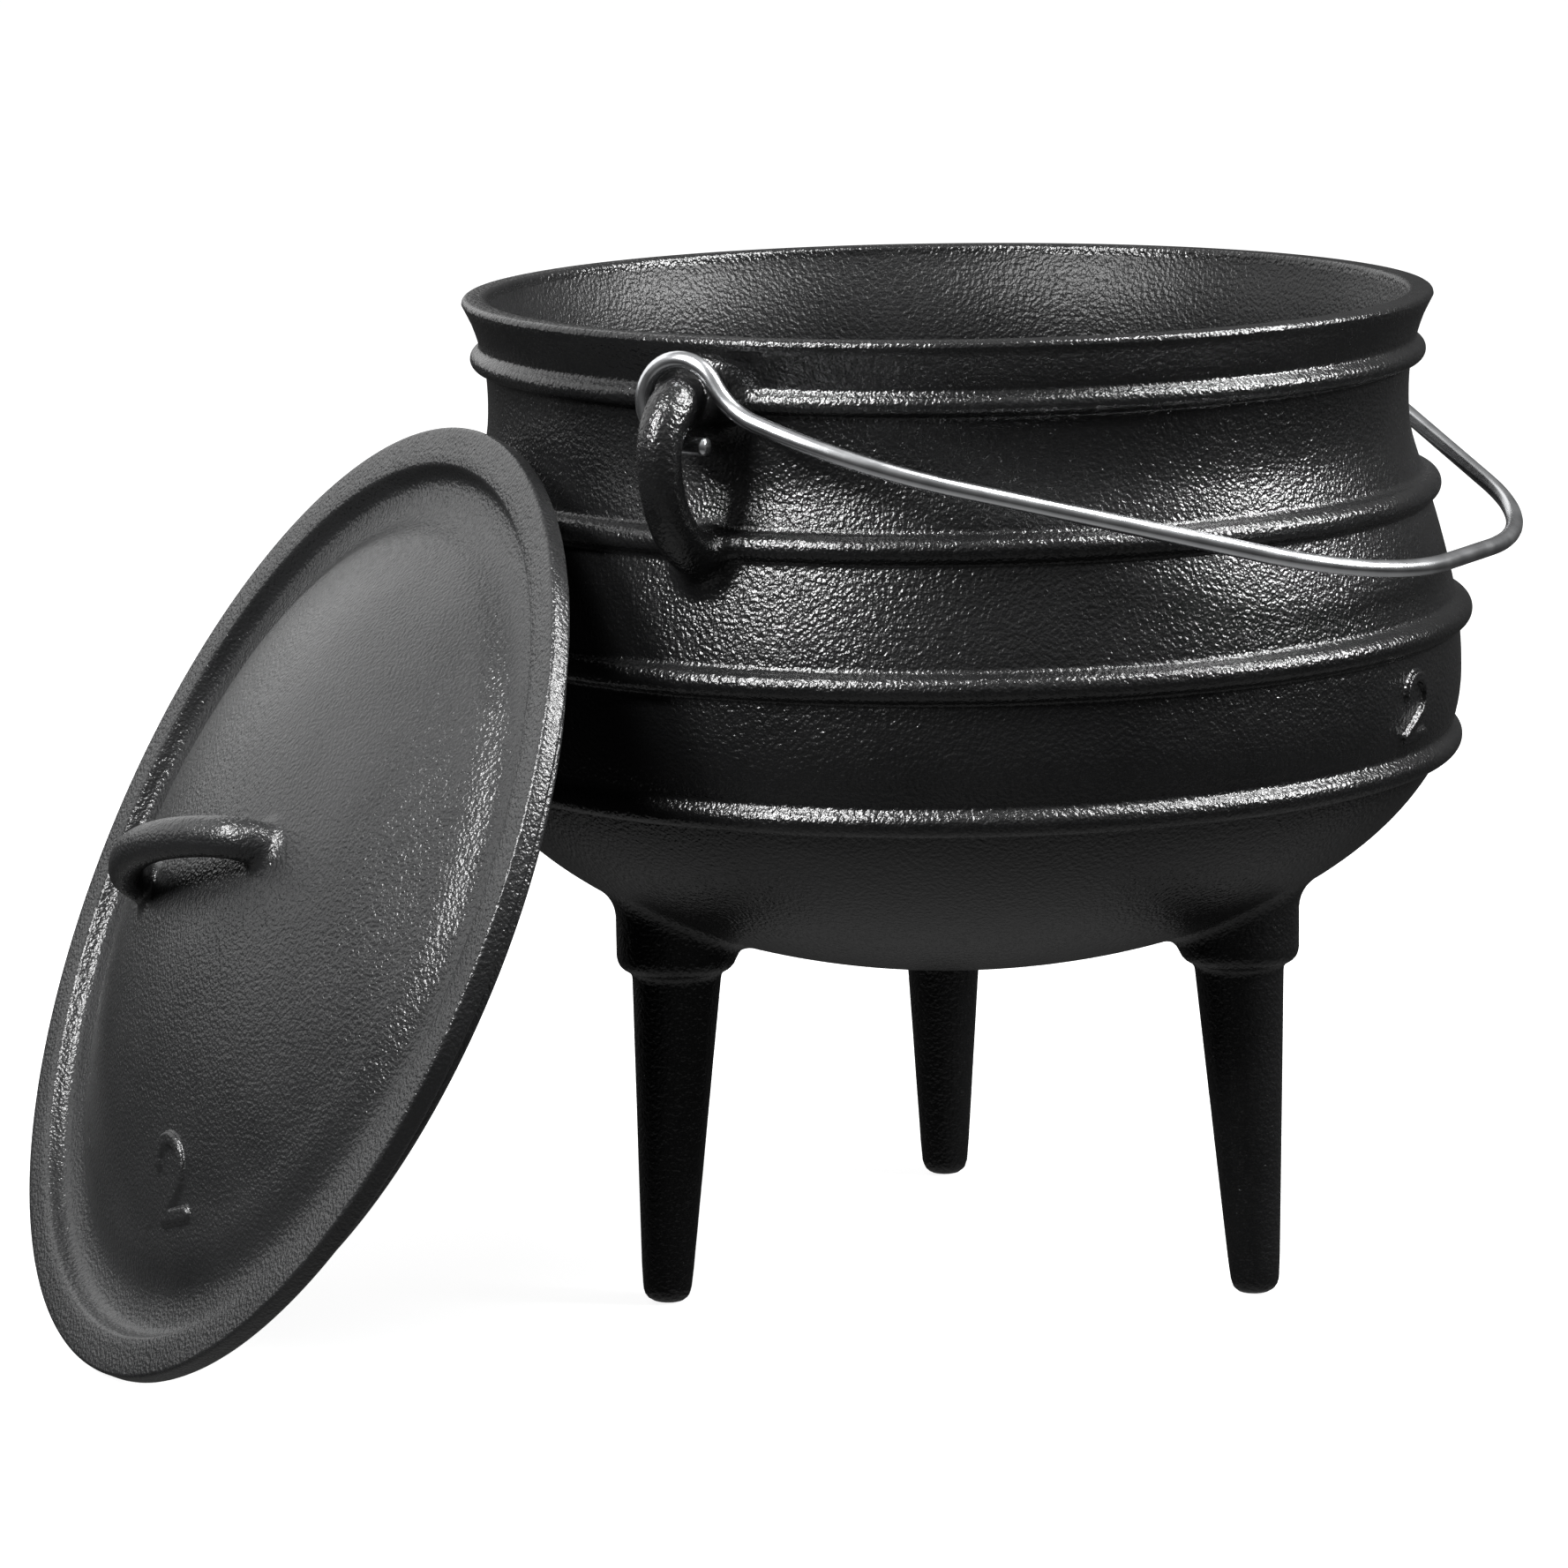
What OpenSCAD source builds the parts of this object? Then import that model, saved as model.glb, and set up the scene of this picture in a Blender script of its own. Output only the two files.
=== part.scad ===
// Three-legged cast iron cauldron with four raised ribs, a loose lid and a
// hinged steel wire bail. Millimetres, +Z up. The origin is on the pot's axis
// at the level of its feet. The bail turns about the line through the two
// ears, which is parallel to X. The lid leans against the pot's side.

/* [Pot] */
// Outer radius of the flared rim
rim_r = 120; // [118:0.5:122]
// Height of the rim above the feet
rim_z = 246; // [244:0.5:248]
// Width of the flat top of the rim
rim_w = 6; // [4.5:0.5:7]
// Thickness of the cast wall
wall = 5; // [4:0.25:6]
// Radius of the belly without its ribs
belly_r = 127.3; // [126.5:0.1:128]
// Height of the belly's widest level
belly_z = 151.3; // [150:0.1:153]
// Depth of the rounded bottom below the widest level
belly_d = 73; // [70:0.5:76]
// Radius of the neck without its ribs
neck_r = 114; // [113.5:0.5:114.5]
// Height of the neck's narrowest level
neck_z = 219; // [218:0.5:220]
// Radius of the half-round ribs
rib_r = 3.2; // [2.8:0.1:3.4]
// How far the centre of a rib's half round lies outside the wall
rib_out = 0.4; // [0.2:0.1:0.6]
// Height of the raised size numeral on the belly
num_h = 17; // [15:0.5:18]
// Height of the numeral's foot above the pot's feet
num_z = 142; // [141.8:0.1:142.2]
// Direction of the numeral from the axis
num_az = 269.5; // [265:0.5:276]

/* [Legs] */
// Distance from the axis to the centre of a foot
foot_at = 84.3; // [80:0.1:88]
// Distance from the axis to the centre of a leg's collar
collar_at = 79.8; // [77:0.1:83]
// Radius of the collar round the top of a leg
collar_r = 14.8; // [13.5:0.1:16]
// Height of the underside of the collar
collar_z = 83.5; // [80:0.5:86]
// Radius of a leg just under its collar
leg_top_r = 11.2; // [10:0.1:12.5]
// Radius of a leg just above its foot
leg_foot_r = 6; // [5:0.1:7]

/* [Ears and bail] */
// Height of the bail's axis
pivot_z = 232; // [230:0.5:234]
// Distance from the axis to the bail's hook
hook_x = 129.4; // [129:0.1:130]
// Radius of the ear's limb where the hook turns on it
limb_r = 6.9; // [6:0.1:7.2]
// Radius of the ear's outer strand
strand_r = 5.1; // [4.5:0.1:5.4]
// Thickness of the bail wire
wire_d = 4.2; // [3.8:0.1:4.4]
// Radius of the hook at the middle of the wire
hook_r = 9.9; // [9.8:0.1:10.6]
// Angle of the bail below level where it rests
bail_drop = 18.4; // [17.5:0.1:19.5]
// Reach of the bail from the line of the ears
bail_reach = 147; // [146.5:0.5:148.5]
// Radius of the two bends beside the bail's crown
bow_r = 70.5; // [70:0.5:71.5]
// Half the length of the straight crown of the bail
crown_w = 13; // [12.5:0.5:14]
// Angle by which the bail's straight sides come together
side_a = 40; // [39.5:0.5:41]

/* [Lid] */
// Outer radius of the lid
lid_r = 121; // [119:0.5:123]
// Radius where the flat flange ends and the channel starts
flange_r = 111.5; // [110:0.5:113]
// Thickness of the lid
lid_t = 5; // [4:0.25:5.5]
// Height of the dome above the flange
dome_h = 22.5; // [20:0.5:25]
// Radius of the dome's foot
dome_r = 98; // [96:0.5:100]
// Depth of the channel below the flange
channel_h = 4.6; // [3.5:0.1:5.5]
// Depth of the locating ring's underside below the flange's top
ring_h = 12.6; // [11:0.1:12.8]
// Half the distance between the feet of the lid's handle
grip_at = 30.6; // [28:0.1:33]
// Rise of the handle's bar above its feet
grip_h = 15.4; // [14:0.1:18]
// Radius of the handle's bar
grip_r = 4.6; // [4:0.1:5]
// Backward lean of the lid from upright
lean = 26.1; // [25.8:0.1:26.4]
// Direction from the axis in which the lid stands
lid_az = 144.3; // [142:0.1:146]
// Distance from the axis to the lid's centre
lid_at = 179.8; // [179.7:0.1:183]
// Turn of the lid in its own plane
lid_turn = 109.6; // [0:0.1:360]

/* [Hidden] */
$fn = 96;

wire_r = wire_d / 2;

// Control points of the outside, as [radius, height]: the flare under the rim,
// then the shoulder. Each pair of the shoulder says what share of the way down
// to the widest level it lies at, and what share of the widening is reached.
flare = [[rim_r, rim_z - 1.5], [rim_r - 3, rim_z - 8], [neck_r + 0.5, neck_z + 9]];
shoulder = [for (s = [[0, 0], [0.12, 0.05], [0.25, 0.24], [0.5, 0.62], [0.75, 0.91], [1, 1]])
    [neck_r + (belly_r - neck_r) * s[1], neck_z - (neck_z - belly_z) * s[0]]];
// A smooth curve through control points, with n steps between each two. Past
// the last point it goes on as its own mirror image, so that it ends upright.
function knot(p, i) = i < 0 ? 2 * p[0] - p[1]
    : i < len(p) ? p[i]
    : [p[len(p) - 2][0], 2 * p[len(p) - 1][1] - p[len(p) - 2][1]];
function curve(p, n) = [for (i = [0:len(p) - 2]) for (k = [0:n - 1])
    let (t = k / n, a = knot(p, i - 1), b = p[i], c = p[i + 1], d = knot(p, i + 2))
    0.5 * (2 * b + (c - a) * t + (2 * a - 5 * b + 4 * c - d) * t * t
        + (3 * b - a - 3 * c + d) * t * t * t)];
side_out = curve(concat(flare, shoulder), 3);
// The rounded bottom is a quarter of an ellipse
bottom_out = [for (a = [0:5:90]) [belly_r * cos(a), belly_z - belly_d * sin(a)]];
// Inside of the body: the outside moved inwards by the wall
function inward(p, i) = let (v = p[min(i + 1, len(p) - 1)] - p[i - 1])
    p[i] - wall * [-v[1], v[0]] / norm(v);
side_in = concat(
    [[rim_r - rim_w + 0.5, rim_z], [rim_r - rim_w - 0.1, rim_z - 0.7],
     [rim_r - rim_w - 0.6, rim_z - 2.5]],
    [for (i = [3:len(side_out) - 1]) inward(side_out, i)]);
bottom_in = [for (a = [0:5:90])
    [(belly_r - wall) * cos(a), belly_z - (belly_d - wall) * sin(a)]];
// Ribs: [radius of the centre of the half round, height, radius]
rib_z = [232, 199, 167, 136];
function outside_at(z) = lookup(-z, [for (p = concat(side_out, bottom_out)) [-p[1], p[0]]]);
ribs = [for (i = [0:3])
    [outside_at(rib_z[i]) + rib_out, rib_z[i], i == 0 ? rib_r - 0.5 : rib_r]];

leg_lean = atan((foot_at - collar_at) / collar_z);

// Outline of the body, outside and filled, for a rotate_extrude
module body_outer() {
    rotate_extrude()
        polygon(concat([[0, rim_z], [rim_r - 0.6, rim_z], [rim_r, rim_z - 0.7]],
                       side_out, bottom_out));
    for (r = ribs)
        rotate_extrude() translate([r[0], r[1]]) circle(r = r[2], $fn = 32);
}
// The hollow of the pot, open at the top
module cavity() {
    rotate_extrude()
        polygon(concat([[0, rim_z + 20], [side_in[0][0], rim_z + 20]], side_in,
                       bottom_in));
}
// One leg on the +X side: a collar and a tapered round leg that leans out
module leg() {
    translate([collar_at, 0, 0])
        rotate_extrude($fn = 48)
            polygon([[0, collar_z], [collar_r - 3, collar_z],
                     [collar_r - 1, collar_z + 0.7], [collar_r - 0.2, collar_z + 2],
                     [collar_r, collar_z + 4], [collar_r, 106], [0, 106]]);
    intersection() {
        translate([foot_at, 0, 0]) rotate([0, -leg_lean, 0])
            rotate_extrude($fn = 48)
                polygon([[0, -2], [leg_foot_r - 2.6, -2], [leg_foot_r - 2.4, 0.1],
                         [leg_foot_r - 1, 1.1], [leg_foot_r, 3.2],
                         [leg_top_r, collar_z], [leg_top_r, 96], [0, 96]]);
        translate([foot_at - 30, -30, 0]) cube([60, 60, 110]);
    }
}
// One ear on the +X side: a limb out of the wall, a bend, and a strand that
// curves down and back into the wall
bend_r = 11.5;
drop_r = 27;
bend_x = 128.3;
module ear() {
    translate([106, 0, pivot_z]) rotate([0, 90, 0])
        cylinder(r1 = 11, r2 = limb_r, h = 14, $fn = 48);
    translate([119, 0, pivot_z]) rotate([0, 90, 0])
        cylinder(r = limb_r, h = 8.2, $fn = 48);
    translate([127.2, 0, pivot_z]) rotate([0, 90, 0])
        cylinder(r1 = limb_r, r2 = 5.6, h = 3.2, $fn = 48);
    translate([bend_x, 0, pivot_z - bend_r]) rotate([90, 0, 0])
        rotate_extrude(start = 0, angle = 90) translate([bend_r, 0])
            circle(r = strand_r, $fn = 40);
    translate([bend_x + bend_r - drop_r, 0, pivot_z - bend_r]) rotate([90, 0, 0])
        rotate_extrude(start = -84, angle = 84) translate([drop_r, 0])
            circle(r = strand_r, $fn = 40);
}
// The size numeral, drawn with plain strokes in a field 15 wide and 20 high
module two() {
    difference() {
        translate([0, 12.6]) circle(r = 7.4, $fn = 48);
        translate([0, 12.6]) circle(r = 4.4, $fn = 48);
        translate([-9, 3]) square([9, 10.4]);
        translate([-9, 3]) square([11.6, 6.5]);
    }
    translate([3.4, 7.8]) rotate(35) translate([-11.6, -1.5]) square([12, 3]);
    translate([-7.5, 0]) square([15, 3]);
}
// The numeral stands proud of the belly between the two lower ribs
module pot_numeral() {
    intersection() {
        rotate([0, 0, num_az]) translate([110, 0, num_z])
            rotate([90, 0, 90]) linear_extrude(30) scale(num_h / 20) two();
        rotate_extrude() polygon([[124, 138], [126.9, 140], [127.8, 145],
            [128.6, 150.3], [128.6, 155.4], [128.3, 161], [128, 165], [124, 165]]);
    }
}
module pot() {
    color("#1d1e20") {
        difference() {
            union() {
                body_outer();
                for (a = [30, 150, 270]) rotate([0, 0, a]) leg();
                ear();
                mirror([1, 0, 0]) ear();
            }
            cavity();
        }
        pot_numeral();
    }
}

// Section of the lid, top surface from the middle out, then the underside back
function dome_at(r) = -channel_h + 0.8
    + (dome_h + channel_h - 0.8) * (1 - pow(r / dome_r, 2));
dome_p = [for (i = [0:14]) let (r = dome_r * i / 14) [r, dome_at(r)]];
under_p = [for (i = [14:-1:0]) let (r = (dome_r - 3) * i / 14)
    [r, -channel_h + 0.8 - lid_t
        + (dome_h + channel_h - 0.8) * (1 - pow(r / (dome_r - 3), 2))]];
module lid_plate() {
    rotate_extrude()
        polygon(concat(dome_p,
            [[dome_r + 2, -channel_h + 0.2], [105, -channel_h],
             [107.4, -channel_h + 0.6], [109.4, -channel_h + 1.9],
             [flange_r - 0.6, -0.4], [flange_r, 0], [lid_r - 1, 0],
             [lid_r - 0.3, -0.3], [lid_r, -1], [lid_r, -lid_t + 0.8],
             [lid_r - 0.8, -lid_t], [109, -lid_t], [108.2, -ring_h + 0.8],
             [107.4, -ring_h], [102.6, -ring_h], [101.8, -ring_h + 0.8],
             [101, -channel_h - lid_t], [dome_r - 1, -channel_h - lid_t]],
            under_p));
}
// The handle: two bends and a flat arc between them, standing on the dome
bend_g = 10;
arc_a = 60;
arc_r = bend_g + (grip_at - bend_g) / cos(arc_a);
arc_top = arc_r * (1 - sin(arc_a)) + bend_g * sin(arc_a);
module lid_grip() {
    foot_z = dome_at(grip_at) + grip_h - arc_top;
    for (s = [0, 180]) rotate([0, 0, s]) {
        translate([grip_at, 0, foot_z - 3])
            cylinder(r1 = grip_r + 2, r2 = grip_r - 0.5, h = 5, $fn = 40);
        translate([grip_at - bend_g, 0, foot_z]) rotate([90, 0, 0])
            rotate_extrude(start = 0, angle = arc_a - 0.4) translate([bend_g, 0])
                circle(r = grip_r, $fn = 40);
        translate([grip_at - bend_g + bend_g * cos(arc_a), 0,
                   foot_z + bend_g * sin(arc_a)])
            sphere(r = grip_r + 0.12, $fn = 40);
    }
    translate([0, 0, foot_z + arc_top - arc_r]) rotate([90, 0, 0])
        rotate_extrude(start = arc_a, angle = 180 - 2 * arc_a) translate([arc_r, 0])
            circle(r = grip_r, $fn = 40);
}
// The lid's own numeral, raised on the dome below the handle
module lid_numeral() {
    intersection() {
        translate([0, -75 - 9.5, 0]) linear_extrude(30) two();
        rotate_extrude() polygon(concat(
            [for (i = [7:13]) let (r = dome_r * i / 14) [r, dome_at(r) + 1.1]],
            [for (i = [13:-1:7]) let (r = dome_r * i / 14) [r, dome_at(r) - 1.5]]));
    }
}
// Height at which the lid's rounded lower edge just meets the floor
lid_z = lid_r * cos(lean) + lid_t * sin(lean) - 0.33;
module lid() {
    color("#2b2c2e")
        rotate([0, 0, lid_az]) translate([lid_at, 0, lid_z])
            rotate([0, 90 - lean, 0]) rotate([0, 0, lid_turn]) {
                lid_plate();
                lid_grip();
                lid_numeral();
            }
}

// The bail: a hook at each end, a reverse bend, and a bow in one sloping plane
// with straight sides that come together, two wide bends and a straight crown
turn_a = 150;
turn_r = 20;
turn_c = [(hook_r + turn_r) * cos(turn_a), (hook_r + turn_r) * sin(turn_a)];
turn_b = turn_a - 180 - (turn_a + 90 - 180 - bail_drop);
leave = [turn_c[0] + turn_r * cos(turn_b), turn_c[1] + turn_r * sin(turn_b)];
leave_s = -(leave[0] * cos(bail_drop) + leave[1] * sin(bail_drop));
plane_h = -leave[0] * sin(bail_drop) + leave[1] * cos(bail_drop);
bow_s = bail_reach - bow_r;
bow_end = [crown_w + bow_r * cos(side_a), bow_s + bow_r * sin(side_a)];
knee_r = 70;
knee_s = bow_end[1] - (hook_x - bow_end[0]) / tan(side_a) - knee_r * tan(side_a / 2);
knee_p = [hook_x - knee_r + knee_r * cos(side_a), knee_s + knee_r * sin(side_a)];
tip = 7;

// The wire is drawn in pieces that alternate between its full thickness and a
// hair less. Each thinner piece runs a little way into its neighbours, so the
// pieces meet on a flat ring and never along two surfaces that only touch.
thin_d = wire_d - 0.1;
into = 0.4;

// A straight piece of wire between two points of the XY plane
module wire_xy(a, b, d = wire_d, over = 0) {
    v = b - a;
    translate([a[0], a[1], 0]) rotate([0, 0, atan2(v[1], v[0])]) rotate([0, 90, 0])
        cylinder(d = d, h = norm(v) + over, $fn = 32);
}
// A bent piece of wire about a centre in the XY plane; a thin one is longer
module bend_xy(c, r, a0, a1, d = wire_d) {
    e = d < wire_d ? into / r * 180 / PI : 0;
    translate([c[0], c[1], 0])
        rotate_extrude(start = a0 - e, angle = a1 - a0 + 2 * e) translate([r, 0])
            circle(d = d, $fn = 32);
}
module bail_half() {
    // Hook, in the plane across the ear's limb
    translate([hook_x, 0, 0]) rotate([90, 0, 90]) {
        wire_xy([-tip, -hook_r], [0, -hook_r], thin_d, into);
        bend_xy([0, 0], hook_r, -90, turn_a);
        bend_xy(turn_c, turn_r, turn_b, turn_a - 180, thin_d);
    }
    // Straight sides and bends of the bow, in its sloping plane
    rotate([bail_drop, 0, 0]) translate([0, 0, plane_h]) mirror([0, 1, 0]) {
        wire_xy([hook_x, leave_s], [hook_x, knee_s]);
        bend_xy([hook_x - knee_r, knee_s], knee_r, 0, side_a, thin_d);
        wire_xy(knee_p, bow_end);
        bend_xy([crown_w, bow_s], bow_r, side_a, 90, thin_d);
    }
}
module bail() {
    color("#c9ccd0") translate([0, 0, pivot_z]) {
        bail_half();
        mirror([1, 0, 0]) bail_half();
        rotate([bail_drop, 0, 0]) translate([0, 0, plane_h]) mirror([0, 1, 0])
            wire_xy([crown_w, bail_reach], [-crown_w, bail_reach]);
    }
}

pot();
lid();
bail();
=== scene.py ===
import math
import bpy
import numpy as np
from mathutils import Matrix, Vector


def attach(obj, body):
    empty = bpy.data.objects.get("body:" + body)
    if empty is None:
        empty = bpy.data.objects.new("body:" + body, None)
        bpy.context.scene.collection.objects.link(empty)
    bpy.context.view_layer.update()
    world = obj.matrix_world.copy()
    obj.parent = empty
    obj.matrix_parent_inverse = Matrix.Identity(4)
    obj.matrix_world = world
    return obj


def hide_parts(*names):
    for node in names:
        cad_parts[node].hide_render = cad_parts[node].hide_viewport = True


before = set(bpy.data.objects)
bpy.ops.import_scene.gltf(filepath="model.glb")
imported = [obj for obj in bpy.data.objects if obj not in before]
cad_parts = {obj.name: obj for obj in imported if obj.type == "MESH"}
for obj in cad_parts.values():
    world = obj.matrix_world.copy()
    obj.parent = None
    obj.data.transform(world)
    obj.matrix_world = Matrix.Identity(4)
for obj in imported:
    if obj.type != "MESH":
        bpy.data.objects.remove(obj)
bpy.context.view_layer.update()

D = math.radians


# ---------------------------------------------------------------- mesh helpers
def mesh_object(name, verts_mm, faces, mats, smooth_deg=None):
    me = bpy.data.meshes.new(name)
    v = np.asarray(verts_mm, dtype=np.float64) * 0.001
    me.from_pydata([tuple(p) for p in v], [], faces)
    me.update()
    me.validate()
    for m in mats:
        me.materials.append(m)
    me.polygons.foreach_set("use_smooth", np.ones(len(me.polygons), dtype=bool))
    ob = bpy.data.objects.new(name, me)
    bpy.context.scene.collection.objects.link(ob)
    return ob


def smin(a, b, k):
    """Union of two distance fields with a fillet that reaches k from both."""
    h = np.maximum(k - np.abs(a - b), 0.0) / k
    return np.minimum(a, b) - h * h * k * 0.25


def smax(a, b, k):
    return -smin(-a, -b, k)


def surface_nets(f, lo, hi, h, keep=None, steps=3):
    """Quads on the zero level of f, one vertex a cell, pulled exactly onto it."""
    lo, hi = np.array(lo, float), np.array(hi, float)
    n = np.ceil((hi - lo) / h).astype(int) + 1
    axes = [lo[i] + h * np.arange(n[i]) for i in range(3)]
    X, Y, Z = np.meshgrid(*axes, indexing="ij")
    P = np.stack([X, Y, Z], -1).reshape(-1, 3)
    F = np.concatenate([f(c) for c in np.array_split(P, max(1, len(P) // 200000))]).reshape(n)
    inside = F < 0
    corner = [(i, j, k) for i in (0, 1) for j in (0, 1) for k in (0, 1)]
    m = n - 1
    count = sum(inside[i:i + m[0], j:j + m[1], k:k + m[2]].astype(int) for i, j, k in corner)
    active = (count > 0) & (count < 8)
    idx = -np.ones(m, int)
    cells = np.argwhere(active)
    idx[active] = np.arange(len(cells))
    # mean of the edge crossings of each active cell
    acc = np.zeros((len(cells), 3))
    num = np.zeros(len(cells))
    for a in corner:
        for d in range(3):
            if a[d]:
                continue
            b = list(a)
            b[d] = 1
            A = F[tuple((cells + a).T)]
            B = F[tuple((cells + b).T)]
            cross = (A < 0) != (B < 0)
            t = np.where(cross, A / np.where(A == B, 1, A - B), 0)
            p = cells + np.array(a, float)
            p[:, d] += t
            acc += np.where(cross[:, None], p, 0)
            num += cross
    V = lo + h * acc / num[:, None]
    e = h * 0.05
    for _ in range(steps):
        v0 = f(V)
        g = np.stack([(f(V + np.eye(3)[i] * e) - f(V - np.eye(3)[i] * e)) / (2 * e) for i in range(3)], -1)
        g2 = np.maximum((g * g).sum(1), 0.05)
        step = -(v0 / g2)[:, None] * g
        ln = np.linalg.norm(step, axis=1, keepdims=True)
        V = V + step * np.minimum(1, 0.5 * h / np.maximum(ln, 1e-9))
    faces = []
    for d in range(3):
        o = [(1, 2), (2, 0), (0, 1)][d]
        sl0 = [slice(1, m[i]) for i in range(3)]
        sl0[d] = slice(0, m[d])
        sl1 = list(sl0)
        sl1[d] = slice(1, m[d] + 1)
        s0 = inside[tuple(sl0)]
        s1 = inside[tuple(sl1)]
        hit = np.argwhere(s0 != s1)
        base = hit + np.array([0 if i == d else 1 for i in range(3)])
        out = s0[tuple(hit.T)]
        u, w = np.zeros(3, int), np.zeros(3, int)
        u[o[0]], w[o[1]] = 1, 1
        q = [idx[tuple((base - u - w).T)], idx[tuple((base - w).T)], idx[tuple(base.T)], idx[tuple((base - u).T)]]
        Q = np.stack(q, 1)
        Q = np.where(out[:, None], Q, Q[:, ::-1])
        faces.append(Q[(Q >= 0).all(1)])
    Q = np.vstack(faces)
    if keep is not None:
        k = keep(V)
        Q = Q[k[Q].any(1)]
    used = np.unique(Q)
    remap = -np.ones(len(V), int)
    remap[used] = np.arange(len(used))
    return V[used], remap[Q]


def spline(points, per=8):
    """Catmull-Rom through the points, centripetal enough for near-even spacing."""
    P = np.array(points, float)
    P = np.vstack([2 * P[0] - P[1], P, 2 * P[-1] - P[-2]])
    out = []
    for i in range(1, len(P) - 2):
        t = np.linspace(0, 1, per, endpoint=False)[:, None]
        a, b, c, d = P[i - 1], P[i], P[i + 1], P[i + 2]
        out.append(0.5 * (2 * b + (c - a) * t + (2 * a - 5 * b + 4 * c - d) * t ** 2 + (3 * b - a - 3 * c + d) * t ** 3))
    return np.vstack(out + [P[-2][None]])


def arc_resample(P, s):
    L = np.concatenate([[0], np.cumsum(np.linalg.norm(np.diff(P, axis=0), axis=1))])
    return np.stack([np.interp(s, L, P[:, i]) for i in range(P.shape[1])], 1), L


def lathe(profile, n):
    """Closed or axis-to-axis profile (r, z) turned about Z. Returns verts, quads."""
    prof = np.array(profile, float)
    a = np.arange(n) * 2 * math.pi / n
    V, rings = [], []
    for r, z in prof:
        if r < 1e-6:
            rings.append([len(V)])
            V.append((0, 0, z))
        else:
            rings.append(list(range(len(V), len(V) + n)))
            V += list(zip(r * np.cos(a), r * np.sin(a), np.full(n, z)))
    F = []
    for A, B in zip(rings[:-1], rings[1:]):
        for i in range(n):
            j = (i + 1) % n
            if len(A) == 1 and len(B) == 1:
                continue
            if len(A) == 1:
                F.append((A[0], B[i], B[j]))
            elif len(B) == 1:
                F.append((A[i], B[0], A[j]))
            else:
                F.append((A[i], B[i], B[j], A[j]))
    V = np.array(V, float)
    vol = sum(float(np.dot(V[f[0]], np.cross(V[f[k]], V[f[k + 1]]))) for f in F for k in range(1, len(f) - 1))
    return V, (F if vol > 0 else [f[::-1] for f in F])


class Field2D:
    """Signed distance to a closed (r, z) outline, on a fine grid, read by interpolation."""

    def __init__(self, loop, lo, hi, h=0.4):
        self.lo, self.h = np.array(lo, float), h
        self.n = np.ceil((np.array(hi) - self.lo) / h).astype(int) + 1
        R, Z = np.meshgrid(self.lo[0] + h * np.arange(self.n[0]), self.lo[1] + h * np.arange(self.n[1]), indexing="ij")
        P = np.stack([R, Z], -1).reshape(-1, 2)
        A = np.array(loop, float)
        B = np.roll(A, -1, 0)
        best = np.full(len(P), 1e9)
        ins = np.zeros(len(P), bool)
        for a, b in zip(A, B):
            ab = b - a
            L = ab @ ab
            if L < 1e-12:
                continue
            t = np.clip(((P - a) @ ab) / L, 0, 1)
            d = P - a - t[:, None] * ab
            best = np.minimum(best, (d * d).sum(1))
            c = (a[1] > P[:, 1]) != (b[1] > P[:, 1])
            if c.any():
                x = a[0] + (P[:, 1] - a[1]) / (b[1] - a[1] if b[1] != a[1] else 1) * ab[0]
                ins ^= c & (P[:, 0] < x)
        self.G = (np.sqrt(best) * np.where(ins, -1, 1)).reshape(self.n)

    def __call__(self, r, z):
        u = np.clip((r - self.lo[0]) / self.h, 0, self.n[0] - 1.001)
        v = np.clip((z - self.lo[1]) / self.h, 0, self.n[1] - 1.001)
        i, j = u.astype(int), v.astype(int)
        a, b = u - i, v - j
        G = self.G
        return (G[i, j] * (1 - a) * (1 - b) + G[i + 1, j] * a * (1 - b) + G[i, j + 1] * (1 - a) * b + G[i + 1, j + 1] * a * b)


def seg_dist(P, A, rad):
    """Distance to a chain of round cones: points A with radii rad."""
    best = np.full(len(P), 1e9)
    for i in range(len(A) - 1):
        a, b = A[i], A[i + 1]
        ab = b - a
        t = np.clip(((P - a) @ ab) / (ab @ ab), 0, 1)
        d = np.linalg.norm(P - a - t[:, None] * ab, axis=1) - (rad[i] + t * (rad[i + 1] - rad[i]))
        best = np.minimum(best, d)
    return best


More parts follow.
